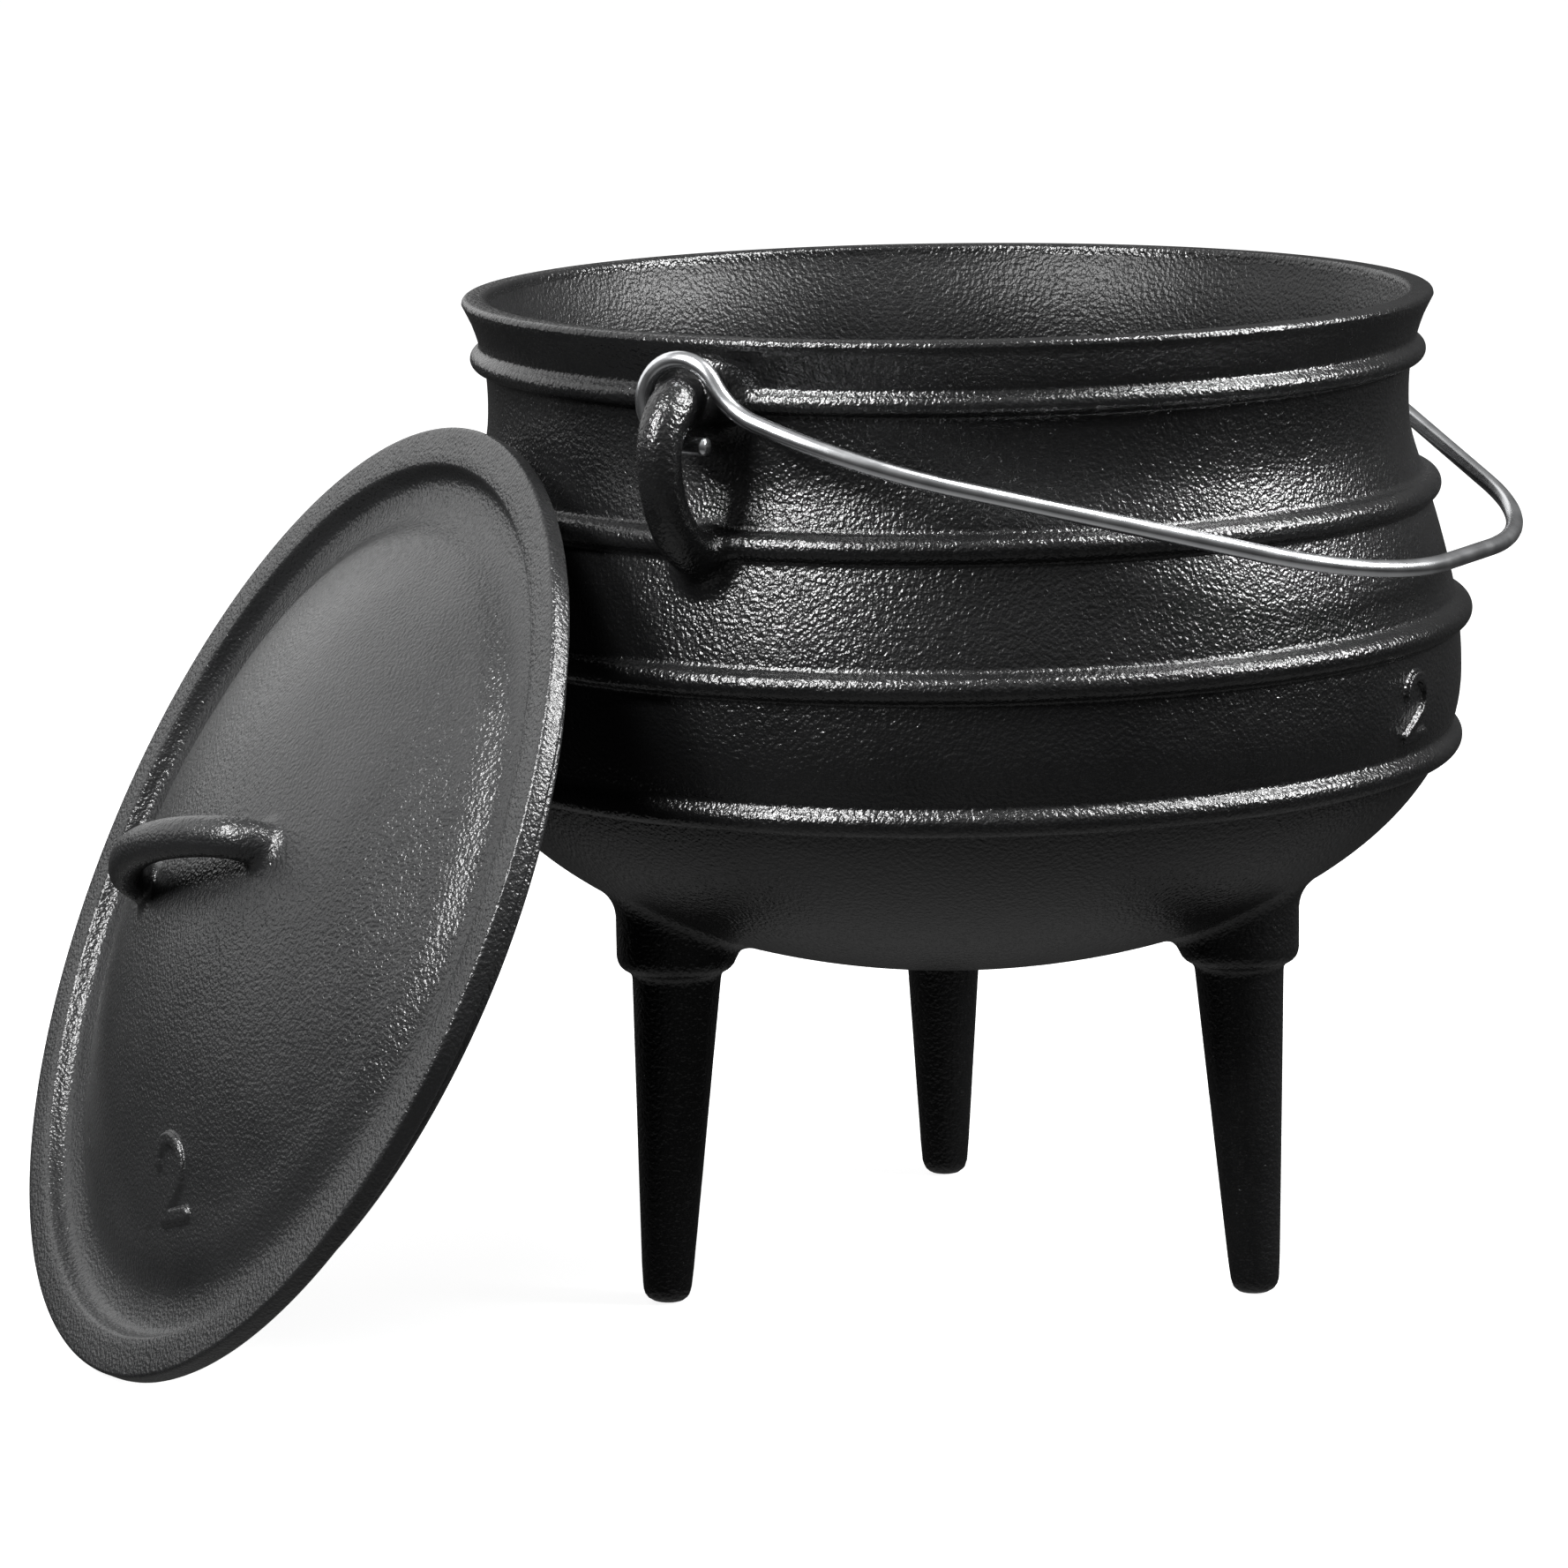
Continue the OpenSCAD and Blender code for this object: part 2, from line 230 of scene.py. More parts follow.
# ------------------------------------------------------------------- materials
def iron(name, base, rough, grain=1.0, shine=0.5):
    """Satin black paint over a sand-cast skin: fine pitting, broad waviness, uneven sheen."""
    m = bpy.data.materials.new(name)
    m.use_nodes = True
    nt = m.node_tree
    N, L = nt.nodes, nt.links
    b = N["Principled BSDF"]
    tc = N.new("ShaderNodeTexCoord")

    def noise(scale, detail, rough_, dist=0.0):
        n = N.new("ShaderNodeTexNoise")
        n.inputs["Scale"].default_value = scale
        n.inputs["Detail"].default_value = detail
        n.inputs["Roughness"].default_value = rough_
        n.inputs["Distortion"].default_value = dist
        L.new(tc.outputs["Object"], n.inputs["Vector"])
        return n

    fine = noise(1000.0 * grain, 1.0, 0.5)
    mid = noise(300.0 * grain, 2.0, 0.5, 0.3)
    broad = noise(34.0, 3.0, 0.5)

    cr = N.new("ShaderNodeValToRGB")
    cr.color_ramp.elements[0].position, cr.color_ramp.elements[1].position = 0.3, 0.75
    cr.color_ramp.elements[0].color = (base * 0.75, base * 0.77, base * 0.8, 1)
    cr.color_ramp.elements[1].color = (base * 1.35, base * 1.36, base * 1.4, 1)
    L.new(broad.outputs["Fac"], cr.inputs["Fac"])
    L.new(cr.outputs["Color"], b.inputs["Base Color"])

    rr = N.new("ShaderNodeMapRange")
    rr.inputs["From Min"].default_value, rr.inputs["From Max"].default_value = 0.3, 0.7
    rr.inputs["To Min"].default_value, rr.inputs["To Max"].default_value = rough - 0.02, rough + 0.03
    L.new(mid.outputs["Fac"], rr.inputs["Value"])
    L.new(rr.outputs["Result"], b.inputs["Roughness"])

    h = None
    for tex, strength, dist in ((broad, 0.12, 0.0004), (fine, 1.0, 0.00034)):
        bump = N.new("ShaderNodeBump")
        bump.inputs["Strength"].default_value = strength
        bump.inputs["Distance"].default_value = dist
        L.new(tex.outputs["Fac"], bump.inputs["Height"])
        if h is not None:
            L.new(h.outputs["Normal"], bump.inputs["Normal"])
        h = bump
    L.new(h.outputs["Normal"], b.inputs["Normal"])
    b.inputs["Specular IOR Level"].default_value = shine
    b.inputs["IOR"].default_value = 1.5
    return m


def wire():
    m = bpy.data.materials.new("bright_wire")
    m.use_nodes = True
    nt = m.node_tree
    N, L = nt.nodes, nt.links
    b = N["Principled BSDF"]
    b.inputs["Metallic"].default_value = 1.0
    tc = N.new("ShaderNodeTexCoord")
    n = N.new("ShaderNodeTexNoise")
    n.inputs["Scale"].default_value = 160.0
    n.inputs["Detail"].default_value = 3.0
    L.new(tc.outputs["Object"], n.inputs["Vector"])
    cr = N.new("ShaderNodeValToRGB")
    cr.color_ramp.elements[0].color = (0.60, 0.61, 0.63, 1)
    cr.color_ramp.elements[1].color = (0.86, 0.87, 0.88, 1)
    L.new(n.outputs["Fac"], cr.inputs["Fac"])
    L.new(cr.outputs["Color"], b.inputs["Base Color"])
    rr = N.new("ShaderNodeMapRange")
    rr.inputs["To Min"].default_value, rr.inputs["To Max"].default_value = 0.16, 0.3
    L.new(n.outputs["Fac"], rr.inputs["Value"])
    L.new(rr.outputs["Result"], b.inputs["Roughness"])
    bump = N.new("ShaderNodeBump")
    bump.inputs["Strength"].default_value = 0.25
    bump.inputs["Distance"].default_value = 0.00005
    L.new(n.outputs["Fac"], bump.inputs["Height"])
    L.new(bump.outputs["Normal"], b.inputs["Normal"])
    return m


POT_MAT = iron("painted_iron_pot", 0.005, 0.25)
INSIDE_MAT = iron("dull_iron_inside", 0.006, 0.38, 1.0, 0.3)
LID_MAT = iron("painted_iron_lid", 0.012, 0.29, 1.1)
WIRE_MAT = wire()

# ------------------------------------------------------------------ pot outline
RIM_R, RIM_Z, RIM_W, WALL = 120.0, 246.0, 6.0, 5.0
BELLY_R, BELLY_Z, BELLY_D = 127.3, 151.3, 73.0
NECK_R, NECK_Z = 114.0, 219.0


def curve(points, n):
    """Smooth curve through control points that ends upright, n steps between each two."""
    P = np.array(points, float)
    P = np.vstack([2 * P[0] - P[1], P, [P[-2][0], 2 * P[-1][1] - P[-2][1]]])
    out = []
    for i in range(1, len(P) - 2):
        a, b, c, d = P[i - 1:i + 3]
        for t in np.arange(n) / n:
            out.append(0.5 * (2 * b + (c - a) * t + (2 * a - 5 * b + 4 * c - d) * t * t + (3 * b - a - 3 * c + d) * t ** 3))
    return np.array(out)


# outer surface without its ribs: the flare, the shoulder, and a quarter of an ellipse
flare = [(RIM_R, RIM_Z - 1.5), (RIM_R - 3, RIM_Z - 8), (NECK_R + 0.5, NECK_Z + 9)]
shoulder = [(NECK_R + (BELLY_R - NECK_R) * w, NECK_Z - (NECK_Z - BELLY_Z) * t)
            for t, w in ((0, 0), (0.12, 0.05), (0.25, 0.24), (0.5, 0.62), (0.75, 0.91), (1, 1))]
side = curve(flare + shoulder, 10)
low = np.array([(BELLY_R * math.cos(D(a)), BELLY_Z - BELLY_D * math.sin(D(a))) for a in np.arange(0, 90.5, 1)])
outer = np.vstack([side, low])
outer[-1, 0] = 0.0
# ribs: height of the middle, radius, fillet above, fillet below
RIB_OUT = 0.4
RIBS = [(232.0, 2.7, 1.2, 0.8), (199.0, 3.2, 1.5, 0.8), (167.0, 3.2, 1.5, 0.8), (136.0, 3.2, 1.3, 0.9)]


def ribbed(P):
    L = np.concatenate([[0], np.cumsum(np.linalg.norm(np.diff(P, axis=0), axis=1))])
    mids = []
    for z0, _, _, _ in RIBS:
        i = int(np.argmax(P[:, 1] < z0))
        mids.append(L[i])
    s = np.arange(0, L[-1], 2.6)
    fine = [np.arange(m - 6.5, m + 6.5, 0.46) for m in mids]
    s = s[np.all([np.abs(s - m) > 6.9 for m in mids], axis=0)]
    s = np.unique(np.concatenate([s, L[-1:]] + fine).round(4))
    s = s[(s >= 0) & (s <= L[-1])]
    Q, _ = arc_resample(P, s)
    T, _ = arc_resample(P, np.clip(s + 0.6, 0, L[-1]))
    T0, _ = arc_resample(P, np.clip(s - 0.6, 0, L[-1]))
    t = T - T0
    t /= np.linalg.norm(t, axis=1, keepdims=True)
    nrm = np.stack([-t[:, 1], t[:, 0]], 1)
    off = np.zeros(len(s))
    for (z0, R, ku, kl), m in zip(RIBS, mids):
        d = s - m
        c = RIB_OUT + np.where(np.abs(d) < R, np.sqrt(np.maximum(R * R - d * d, 0)), -(np.abs(d) - R) * 2.0)
        k = np.where(d < 0, ku, kl) * 1.6
        off = np.maximum(off, smax(np.zeros_like(c), c, k) - np.where(np.abs(d) < 0.01, 0, 0))
    out = Q + nrm * off[:, None]
    return out


OUT = ribbed(outer)
OUT[-1, 0] = 0.0
# inner surface: the wall keeps its thickness, over a smoothed outer line
tn = np.gradient(side, axis=0)
tn /= np.linalg.norm(tn, axis=1, keepdims=True)
inner_side = (side - WALL * np.stack([-tn[:, 1], tn[:, 0]], 1))[12:]
inner_low = np.array([((BELLY_R - WALL) * math.cos(D(a)), BELLY_Z - (BELLY_D - WALL) * math.sin(D(a))) for a in range(0, 91, 3)])
inner = np.vstack([[(RIM_R - RIM_W - 0.5, 243.6)], inner_side, inner_low])
inner, _ = arc_resample(inner, np.linspace(0, arc_resample(inner, [0])[1][-1], 56))
inner[-1, 0] = 0.0


def corner(c, r, a0, a1, n=5):
    return [(c[0] + r * math.cos(D(a)), c[1] + r * math.sin(D(a))) for a in np.linspace(a0, a1, n)]


rim = corner((RIM_R - 1.35, RIM_Z - 1.3), 1.3, 0, 90) + [(RIM_R - 3.1, RIM_Z)] + corner((RIM_R - RIM_W + 0.9, RIM_Z - 1.2), 1.2, 90, 178)
whole = np.vstack([OUT[::-1], rim, inner])
V_pot, F_pot = lathe(whole, 216)
# a fill of the outer line down to the axis, for the blends of ears and legs
fill = np.vstack([OUT, [[0, RIM_Z]], [[RIM_R - 1.35, RIM_Z]], np.array(rim[:5])[::-1]])
BODY = Field2D(fill, (0, 60), (150, 256), 0.4)
SINK = 0.03


def body(P):
    return BODY(np.hypot(P[:, 0], P[:, 1]), P[:, 2])


parts_v, parts_f = [V_pot], [F_pot]


def add(V, F, M=None):
    V = np.asarray(V)
    if M is not None:
        V = V @ np.array(M, float).T
        if np.linalg.det(np.array(M, float)) < 0:
            F = [tuple(f)[::-1] for f in F]
    off = sum(len(v) for v in parts_v)
    parts_v.append(V)
    parts_f.append([tuple(int(i) + off for i in f) for f in F])


# ------------------------------------------------------------------------ legs
FOOT, COLLAR_AT, COLLAR_R, COLLAR_Z = 84.3, 79.8, 14.8, 83.5
lean = math.atan((FOOT - COLLAR_AT) / COLLAR_Z)
LEG = Field2D([(0, 0), (3.0, 0.0), (4.4, 0.5), (5.4, 1.5), (6.0, 3.2), (6.5, 9.0), (9.2, 53.0), (11.0, COLLAR_Z - 1), (11.2, 94), (0, 94)], (0, -6), (30, 116), 0.3)
BOSS = Field2D([(0, COLLAR_Z), (11.9, COLLAR_Z), (13.3, COLLAR_Z + 0.5), (14.3, COLLAR_Z + 1.6), (14.8, COLLAR_Z + 3.2), (14.8, 104), (0, 104)], (0, 60), (40, 116), 0.3)


def leg_field(P):
    q = P - [FOOT, 0, 0]
    c, s = math.cos(lean), math.sin(lean)
    x = q[:, 0] * c + q[:, 2] * s
    z = -q[:, 0] * s + q[:, 2] * c
    return LEG(np.hypot(x, q[:, 1]), z)


def boss_field(P):
    return BOSS(np.hypot(P[:, 0] - COLLAR_AT, P[:, 1]), P[:, 2])


def leg_all(P):
    a = smin(leg_field(P), boss_field(P), 2.2)
    a = smax(a, -P[:, 2], 0.4)
    return smin(a, body(P) + SINK, 4.5)


def leg_keep(P):
    return np.minimum(leg_field(P), boss_field(P)) < 7.6


Vl, Fl = surface_nets(leg_all, (56, -24, -1), (106, 24, 112), 1.25, leg_keep)
for a in (30, 150, 270):
    c, s = math.cos(D(a)), math.sin(D(a))
    add(Vl, Fl, [[c, -s, 0], [s, c, 0], [0, 0, 1]])

# ------------------------------------------------------------------------ ears
PIV, BEND_R, DROP_R, BEND_X = 232.0, 11.5, 27.0, 128.3
path, rad = [], []
for x, r in ((104, 11.0), (110, 10.0), (115, 8.0), (120, 6.95), (124, 6.85), (127.3, 6.7)):
    path.append((x, 0, PIV))
    rad.append(r)
for a in range(90, -1, -10):
    path.append((BEND_X + BEND_R * math.cos(D(a)), 0, PIV - BEND_R + BEND_R * math.sin(D(a))))
    rad.append(5.15 + 1.4 * (a / 90.0) ** 1.5)
for a in range(-7, -92, -7):
    path.append((BEND_X + BEND_R - DROP_R + DROP_R * math.cos(D(a)), 0, PIV - BEND_R + DROP_R * math.sin(D(a))))
    rad.append(5.1 + 0.5 * (a / -90.0))
path, rad = np.array(path), np.array(rad)


def ear_raw(P):
    return seg_dist(P, path, rad)


def ear_all(P):
    return smin(ear_raw(P), body(P) + SINK, 6.0)


Ve, Fe = surface_nets(ear_all, (100, -26, 176), (146, 26, 245), 0.85, lambda P: (ear_raw(P) < 6.4) & (np.hypot(P[:, 0], P[:, 1]) > 113.2) & (P[:, 2] < 243.2))
add(Ve, Fe)
add(Ve, Fe, [[-1, 0, 0], [0, 1, 0], [0, 0, 1]])


# --------------------------------------------------------------------- numeral
def two_path(h):
    """Centreline of a plain figure 2 of height h, in its own plane."""
    k = h / 20.0
    pts = [(5.9 * math.cos(D(a)), 12.6 + 5.9 * math.sin(D(a))) for a in range(168, -56, -8)]
    pts += [(-5.9, 1.5), (-5.9, 1.5), (6.0, 1.5)]
    return np.array([(x * k, y * k - h / 2) for x, y in pts])


def stroke(U, C, w):
    best = np.full(len(U), 1e9)
    for a, b in zip(C[:-1], C[1:]):
        ab = b - a
        L = ab @ ab
        if L < 1e-9:
            continue
        t = np.clip(((U - a) @ ab) / L, 0, 1)
        best = np.minimum(best, np.linalg.norm(U - a - t[:, None] * ab, axis=1))
    return best - w


TWO = two_path(17.0)
NA = 269.5


def num_field(P):
    u = P[:, 1]  # turned so that +X is outwards
    U = np.stack([u, P[:, 2] - 150.5], 1)
    return smax(stroke(U, TWO, 1.3), body(P) - 1.2, 0.6)


def num_all(P):
    return smin(num_field(P), body(P) + SINK, 1.0)


Vn, Fn = surface_nets(num_all, (122, -10, 139.5), (131, 10, 163.5), 0.42, lambda P: num_field(P) < 1.2)
c, s = math.cos(D(NA)), math.sin(D(NA))
add(Vn, Fn, [[c, -s, 0], [s, c, 0], [0, 0, 1]])

allv = np.vstack(parts_v)
allf = [tuple(f) for F in parts_f for f in F]
pot = mesh_object("pot_casting", allv, allf, [POT_MAT, INSIDE_MAT])
# the hollow is duller than the painted outside
cent = np.array([np.mean([allv[i] for i in f], axis=0) for f in allf])
deep = (body(cent) < -2.6) & (cent[:, 2] < 244.6)
pot.data.polygons.foreach_set("material_index", deep.astype(np.int32))
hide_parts("pot")
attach(pot, "pot")

# ------------------------------------------------------------------------- lid
LID_R, FL_R, LT, DOME_R, CH, RING = 121.0, 111.5, 5.0, 98.0, 4.6, 12.6
DOME_H = 22.5


def dome(r):
    swell = 0.7 * np.exp(-((np.asarray(r) - 91.5) / 4.5) ** 2)
    return -CH + 0.8 + (DOME_H + CH - 0.8) * (1 - (r / DOME_R) ** 2) + swell


def under(r):
    R = DOME_R - 3
    return -CH + 0.8 - LT + (DOME_H + CH - 0.8) * (1 - (r / R) ** 2)


top = [(r, dome(r)) for r in np.linspace(0, 95.5, 30)]
top += [(97.2, -3.2), (98.8, -3.9), (100.4, -4.35), (102.5, -4.55), (105.2, -4.6), (107.2, -4.5), (108.6, -4.1), (109.5, -3.3), (110.2, -2.1), (110.8, -0.8), (111.2, -0.28), (111.8, -0.06)]
top += [(114.5, 0.0), (117.5, 0.0)] + corner((LID_R - 1.0, -1.0), 1.0, 90, 0, 5) + [(LID_R, -2.6)] + corner((LID_R - 1.0, -LT + 1.0), 1.0, 0, -90, 5)
bot = [(115.0, -LT), (110.4, -LT), (109.4, -5.4), (108.9, -6.6), (108.4, -RING + 1.6)] + corner((107.2, -RING + 1.2), 1.2, 0, -90, 5) + [(105, -RING)]
bot += corner((102.8, -RING + 1.2), 1.2, 270, 180, 5) + [(101.3, -10.6), (100.6, -9.9), (99.4, -9.6), (97.0, -9.5), (95.2, -8.9)]
bot += [(r, under(r)) for r in np.linspace(93.2, 0, 30)]
prof = np.array(top + bot)
prof[0, 0] = 0
prof[-1, 0] = 0


def densify(P, most):
    out = [P[0]]
    for a, b in zip(P[:-1], P[1:]):
        k = max(1, int(np.ceil(np.linalg.norm(b - a) / most)))
        out += [a + (b - a) * (i + 1) / k for i in range(k)]
    return np.array(out)


prof = densify(prof, 3.4)
V_lid, F_lid = lathe(prof[::-1], 288)
LIDF = Field2D(np.vstack([prof]), (0, -16), (128, 30), 0.35)


def lid_body(P):
    return LIDF(np.hypot(P[:, 0], P[:, 1]), P[:, 2])


GA, GH, GR, BG = 30.6, 15.4, 4.6, 10.0
AR = BG + (GA - BG) / math.cos(D(60))
ATOP = AR * (1 - math.sin(D(60))) + BG * math.sin(D(60))
FZ = dome(GA) + GH - ATOP
gp, gr = [], []
for z, r in ((FZ - 7, 6.4), (FZ - 3, 6.2), (FZ, 5.2)):
    gp.append((GA, 0, z))
    gr.append(r)
for a in range(6, 61, 9):
    gp.append((GA - BG + BG * math.cos(D(a)), 0, FZ + BG * math.sin(D(a))))
    gr.append(4.9 - 0.2 * a / 60)
for a in range(63, 91, 3):
    gp.append((AR * math.cos(D(a)), 0, FZ + ATOP - AR + AR * math.sin(D(a))))
    gr.append(4.6)
gp, gr = np.array(gp), np.array(gr)
gp2 = np.vstack([gp, (gp * [-1, 1, 1])[::-1][1:]])
gr2 = np.concatenate([gr, gr[::-1][1:]])


def grip_raw(P):
    # the bar is a little wider than it is high
    Q = P * [1, 0.92, 1]
    return seg_dist(Q, gp2, gr2)


def grip_all(P):
    return smin(grip_raw(P), lid_body(P) + SINK, 2.6)


# the blend looks only at the dome's outer side, so nothing shows underneath
Vg, Fg = surface_nets(grip_all, (-44, -16, 11), (44, 16, 42), 0.75, lambda P: (grip_raw(P) < 4.9) & (P[:, 2] > dome(np.hypot(P[:, 0], P[:, 1])) - 1.5))

TWO_L = two_path(20.0)


def lnum(P):
    U = np.stack([P[:, 0], P[:, 1] + 74.5], 1)
    return smax(stroke(U, TWO_L, 1.5), lid_body(P) - 1.15, 0.8)


def lnum_all(P):
    return smin(lnum(P), lid_body(P) + SINK, 1.0)


Vm, Fm = surface_nets(lnum_all, (-9, -87, 0.5), (9, -63, 16), 0.42, lambda P: (lnum(P) < 1.2) & (P[:, 2] > dome(np.hypot(P[:, 0], P[:, 1])) - 1.0))

LEAN, LAZ, LAT, LTURN = 26.1, 144.3, 179.8, 109.6
LZ = LID_R * math.cos(D(LEAN)) + LT * math.sin(D(LEAN)) - 0.33
M = Matrix.Rotation(D(LAZ), 4, "Z") @ Matrix.Translation((LAT, 0, LZ)) @ Matrix.Rotation(D(90 - LEAN), 4, "Y") @ Matrix.Rotation(D(LTURN), 4, "Z")
Mn = np.array(M)
parts_v, parts_f = [V_lid], [F_lid]
add(Vg, Fg)
add(Vm, Fm)
lv = np.vstack(parts_v)
lv = lv @ Mn[:3, :3].T + Mn[:3, 3]
lid = mesh_object("lid_casting", lv, [tuple(f) for F in parts_f for f in F], [LID_MAT])
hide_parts("lid")
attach(lid, "pot")

# ------------------------------------------------------------------------ bail
WIRE_R, HOOK_R, TURN_A, TURN_R, DROP, HX = 2.1, 9.9, 150, 20.0, 18.4, 129.4
REACH, BOW_R, SIDE_A, TIP, KNEE, CROWN = 147.0, 70.5, 40, 7.0, 70.0, 13.0


def rot(a):
    return np.array([math.cos(D(a)), math.sin(D(a))])


tc = (HOOK_R + TURN_R) * rot(TURN_A)
tb = DROP - 90
yz = [np.array([-TIP * (1 - t), -HOOK_R]) for t in np.linspace(0, 1, 5)[:-1]]
yz += [HOOK_R * rot(a) for a in range(-90, TURN_A, 8)]
yz += [tc + TURN_R * rot(a) for a in np.linspace(TURN_A - 180, tb, 10)[:-1]]
leave = tc + TURN_R * rot(tb)
ls = -(leave[0] * math.cos(D(DROP)) + leave[1] * math.sin(D(DROP)))
ph = -leave[0] * math.sin(D(DROP)) + leave[1] * math.cos(D(DROP))
bs = REACH - BOW_R
be = np.array([CROWN + BOW_R * math.cos(D(SIDE_A)), bs + BOW_R * math.sin(D(SIDE_A))])
ks = be[1] - (HX - be[0]) / math.tan(D(SIDE_A)) - KNEE * math.tan(D(SIDE_A / 2))
kp = np.array([HX - KNEE + KNEE * math.cos(D(SIDE_A)), ks + KNEE * math.sin(D(SIDE_A))])
xs = [np.array([HX, ls + (ks - ls) * t]) for t in np.linspace(0, 1, 4)]
xs += [np.array([HX - KNEE, ks]) + KNEE * rot(a) for a in np.linspace(0, SIDE_A, 16)[1:-1]]
xs += [kp + (be - kp) * t for t in np.linspace(0, 1, 14)]
xs += [np.array([CROWN, bs]) + BOW_R * rot(a) for a in np.arange(SIDE_A + 2, 90.1, 2)]
xs += [np.array([x, REACH]) for x in (8.6, 4.3)]
half = [np.array([HX, p[0], p[1] + PIV]) for p in yz]
for x, q in xs:
    y, z = -q, ph
    half.append(np.array([x, y * math.cos(D(DROP)) - z * math.sin(D(DROP)), y * math.sin(D(DROP)) + z * math.cos(D(DROP)) + PIV]))
half = np.array(half)
mid = np.array([[0, -(REACH * math.cos(D(DROP)) + ph * math.sin(D(DROP))), -REACH * math.sin(D(DROP)) + ph * math.cos(D(DROP)) + PIV]])
line = np.vstack([half, mid, (half * [-1, 1, 1])[::-1]])


def tube(C, r, n=18):
    C = np.array(C, float)
    T = np.gradient(C, axis=0)
    T /= np.linalg.norm(T, axis=1, keepdims=True)
    u = np.cross(T[0], [0, 0, 1.0])
    u /= np.linalg.norm(u)
    V, F = [], []
    ang = np.arange(n) * 2 * math.pi / n
    rings = [(C[0], T[0], r * 0.62)] + [(c, t, r) for c, t in zip(C, T)] + [(C[-1], T[-1], r * 0.62)]
    rings[1] = (C[0] + T[0] * 0.45, T[0], r)
    rings[-2] = (C[-1] - T[-1] * 0.45, T[-1], r)
    for c, t, rr in rings:
        u = u - t * (u @ t)
        u /= np.linalg.norm(u)
        w = np.cross(t, u)
        V += [c + rr * (math.cos(a) * u + math.sin(a) * w) for a in ang]
    for i in range(len(rings) - 1):
        for j in range(n):
            k = (j + 1) % n
            F.append((i * n + j, i * n + k, (i + 1) * n + k, (i + 1) * n + j))
    F.append(tuple(range(n))[::-1])
    F.append(tuple(range((len(rings) - 1) * n, len(rings) * n)))
    return np.array(V), F


Vb, Fb = tube(line, WIRE_R)
bail = mesh_object("bail_wire", Vb, Fb, [WIRE_MAT])
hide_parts("bail")
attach(bail, "bail")

# -------------------------------------------------------------- floor and light
floor_mat = bpy.data.materials.new("pale_floor")
floor_mat.use_nodes = True
fb = floor_mat.node_tree.nodes["Principled BSDF"]
fb.inputs["Base Color"].default_value = (0.34, 0.34, 0.34, 1)
fb.inputs["Roughness"].default_value = 0.9
fb.inputs["Specular IOR Level"].default_value = 0.1
fb.inputs["Emission Color"].default_value = (1, 1, 1, 1)
fb.inputs["Emission Strength"].default_value = 0.9
bpy.ops.mesh.primitive_plane_add(size=16, location=(0, 0, 0))
floor = bpy.context.object
floor.name = "floor"
floor.data.materials.append(floor_mat)
floor.visible_glossy = False
floor.visible_diffuse = False

world = bpy.data.worlds.new("studio")
bpy.context.scene.world = world
world.use_nodes = True
wn, wl = world.node_tree.nodes, world.node_tree.links
bg = wn["Background"]
wt = wn.new("ShaderNodeTexCoord")
wx = wn.new("ShaderNodeSeparateXYZ")
wm = wn.new("ShaderNodeMapRange")
wm.inputs["From Min"].default_value, wm.inputs["From Max"].default_value = -1.0, 1.0
wr = wn.new("ShaderNodeValToRGB")
wr.color_ramp.interpolation = "EASE"
for at, v in ((0.0, 0.30), (0.12, 0.20), (0.30, 0.03), (0.52, 0.07), (1.0, 0.38)):
    e = wr.color_ramp.elements.new(at) if 0.0 < at < 1.0 else wr.color_ramp.elements[0 if at == 0.0 else -1]
    e.color = (v, v, v, 1)
wl.new(wt.outputs["Generated"], wx.inputs["Vector"])
wl.new(wx.outputs["Z"], wm.inputs["Value"])
wl.new(wm.outputs["Result"], wr.inputs["Fac"])
wl.new(wr.outputs["Color"], bg.inputs["Color"])
bg.inputs["Strength"].default_value = 1.0
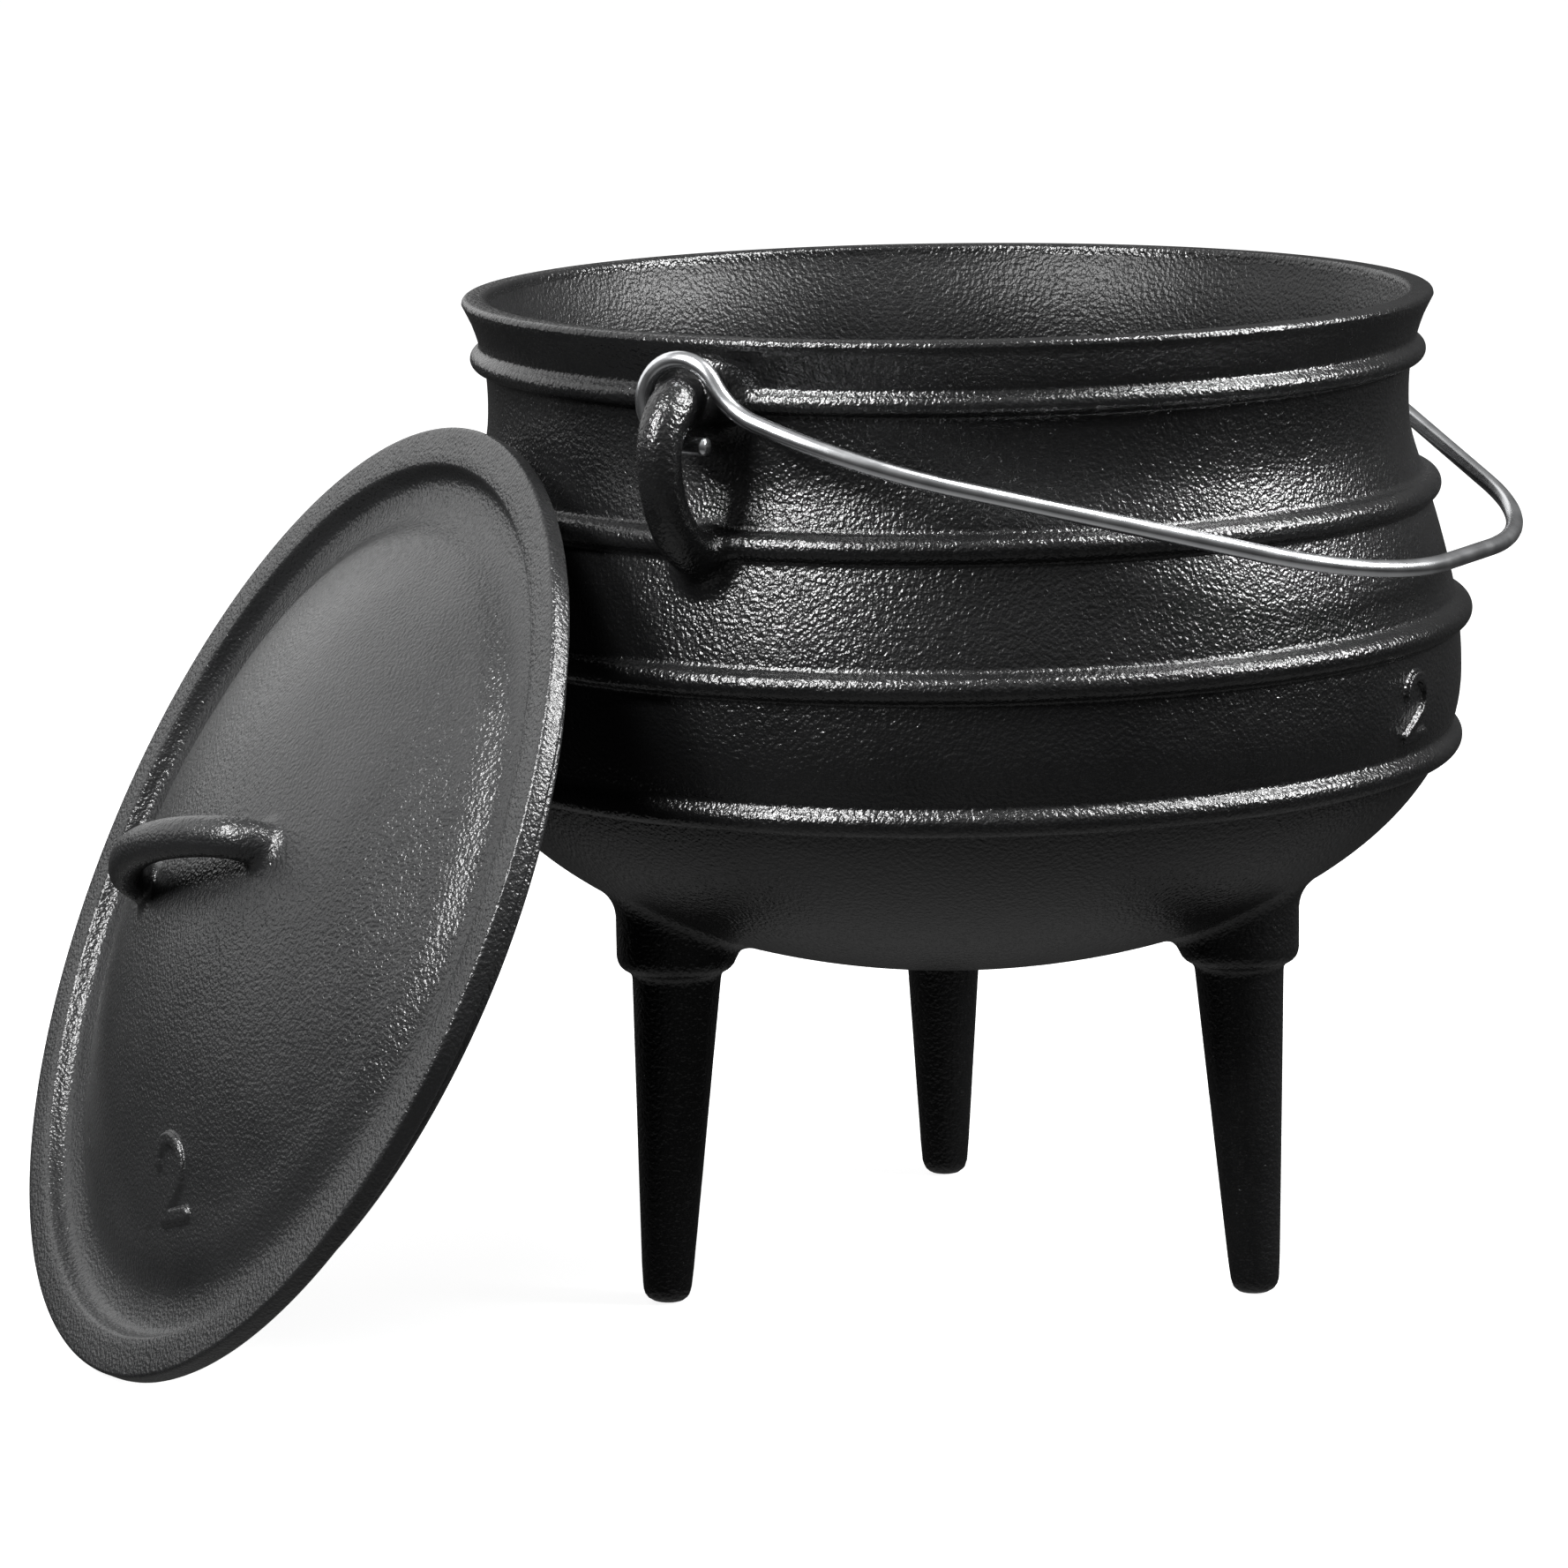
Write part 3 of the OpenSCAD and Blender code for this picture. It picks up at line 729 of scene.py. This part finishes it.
bpy.context.scene.view_settings.view_transform = "Standard"

# camera frame: right, up, back as unit vectors of the part's frame
RIGHT, UP, BACK = Vector((0.4946, -0.8690, -0.0145)), Vector((0.1648, 0.0774, 0.9833)), Vector((-0.8534, -0.4888, 0.1815))
cam_data = bpy.data.cameras.new("camera")
cam = bpy.data.objects.new("camera", cam_data)
bpy.context.scene.collection.objects.link(cam)
cam.matrix_world = Matrix(((RIGHT.x, UP.x, BACK.x, -1.3250), (RIGHT.y, UP.y, BACK.y, -0.7105), (RIGHT.z, UP.z, BACK.z, 0.3992), (0, 0, 0, 1)))
cam_data.sensor_width = 36.0
cam_data.lens = 6894.41 / 1777.0 * 36.0
cam_data.clip_start = 0.05
bpy.context.scene.camera = cam


def softbox(name, az, el, dist, w, h, power, aim=(0, 0, 0.14)):
    """az is counted from the camera's side of the pot, positive to the camera's right."""
    base = math.atan2(BACK.y, BACK.x)
    a = base + D(az)
    p = Vector((dist * math.cos(D(el)) * math.cos(a), dist * math.cos(D(el)) * math.sin(a), dist * math.sin(D(el)) + aim[2]))
    ld = bpy.data.lights.new(name, "AREA")
    ld.shape = "RECTANGLE"
    ld.size, ld.size_y, ld.energy = w, h, power
    ob = bpy.data.objects.new(name, ld)
    bpy.context.scene.collection.objects.link(ob)
    ob.location = p
    ob.rotation_euler = (Vector(aim) - p).to_track_quat("-Z", "Y").to_euler()
    return ob


# pairs of boxes with a dark gap between, so that ribs and wire carry two bright lines
softbox("key_left_high", -44, 56, 1.5, 0.34, 0.34, 26)
softbox("key_left_low", -44, 33, 1.5, 0.34, 0.30, 24)
softbox("key_right_high", 80, 58, 1.5, 0.60, 0.34, 30)
softbox("key_right_low", 84, 30, 1.5, 0.60, 0.36, 34)
softbox("lid_side", -132, 27, 2.4, 3.8, 2.0, 26)

print("triangles pot", sum(len(p.vertices) - 2 for p in pot.data.polygons), "lid", sum(len(p.vertices) - 2 for p in lid.data.polygons), "bail", sum(len(p.vertices) - 2 for p in bail.data.polygons))
